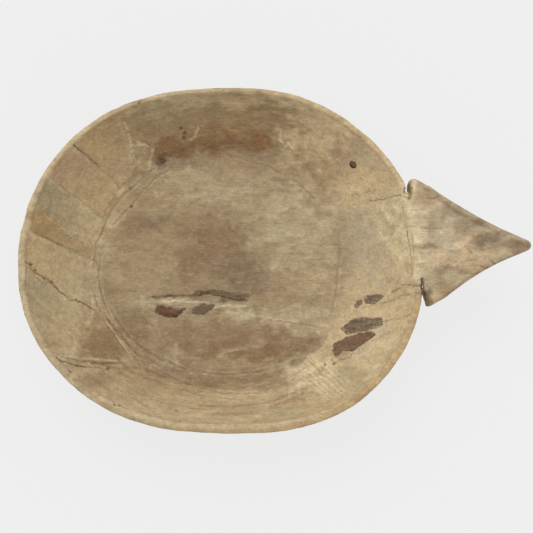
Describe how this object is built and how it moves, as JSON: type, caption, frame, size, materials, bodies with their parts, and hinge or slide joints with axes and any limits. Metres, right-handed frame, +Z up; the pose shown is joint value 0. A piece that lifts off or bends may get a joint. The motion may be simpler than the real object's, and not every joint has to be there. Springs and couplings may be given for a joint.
{
  "type": "feed scoop",
  "caption": "Hand-carved wooden feed scoop: an oval, steep-walled bowl with a flat arrowhead-shaped handle level with the rim, for scooping and carrying grain or feed.",
  "frame": {"origin": "middle of the flat underside that the scoop stands on", "axes": "+Z up out of the bowl's mouth, +X along the handle away from the bowl, +Y to the left of the handle seen from above with the handle pointing away"},
  "size_m": [0.5076, 0.3449, 0.086],
  "materials": {
    "carved_wood": "worn, dry, unvarnished, with tool marks",
    "red_brown_filler": "matt, crumbly, dark red-brown",
    "grey_brown_filler": "matt, rough, grey-brown",
    "knot_wood": "end grain with a dark edge"
  },
  "bodies": {
    "root": {"scoop_body": "carved_wood", "floor_fill_lump": "red_brown_filler", "floor_fill_square": "red_brown_filler", "floor_fill_upper_strip": "grey_brown_filler", "floor_fill_lower_strip": "grey_brown_filler", "wall_fill_large": "red_brown_filler", "wall_fill_middle": "grey_brown_filler", "wall_fill_small": "grey_brown_filler", "wall_fill_tail": "grey_brown_filler", "dead_knot": "knot_wood"}
  },
  "joints": []
}
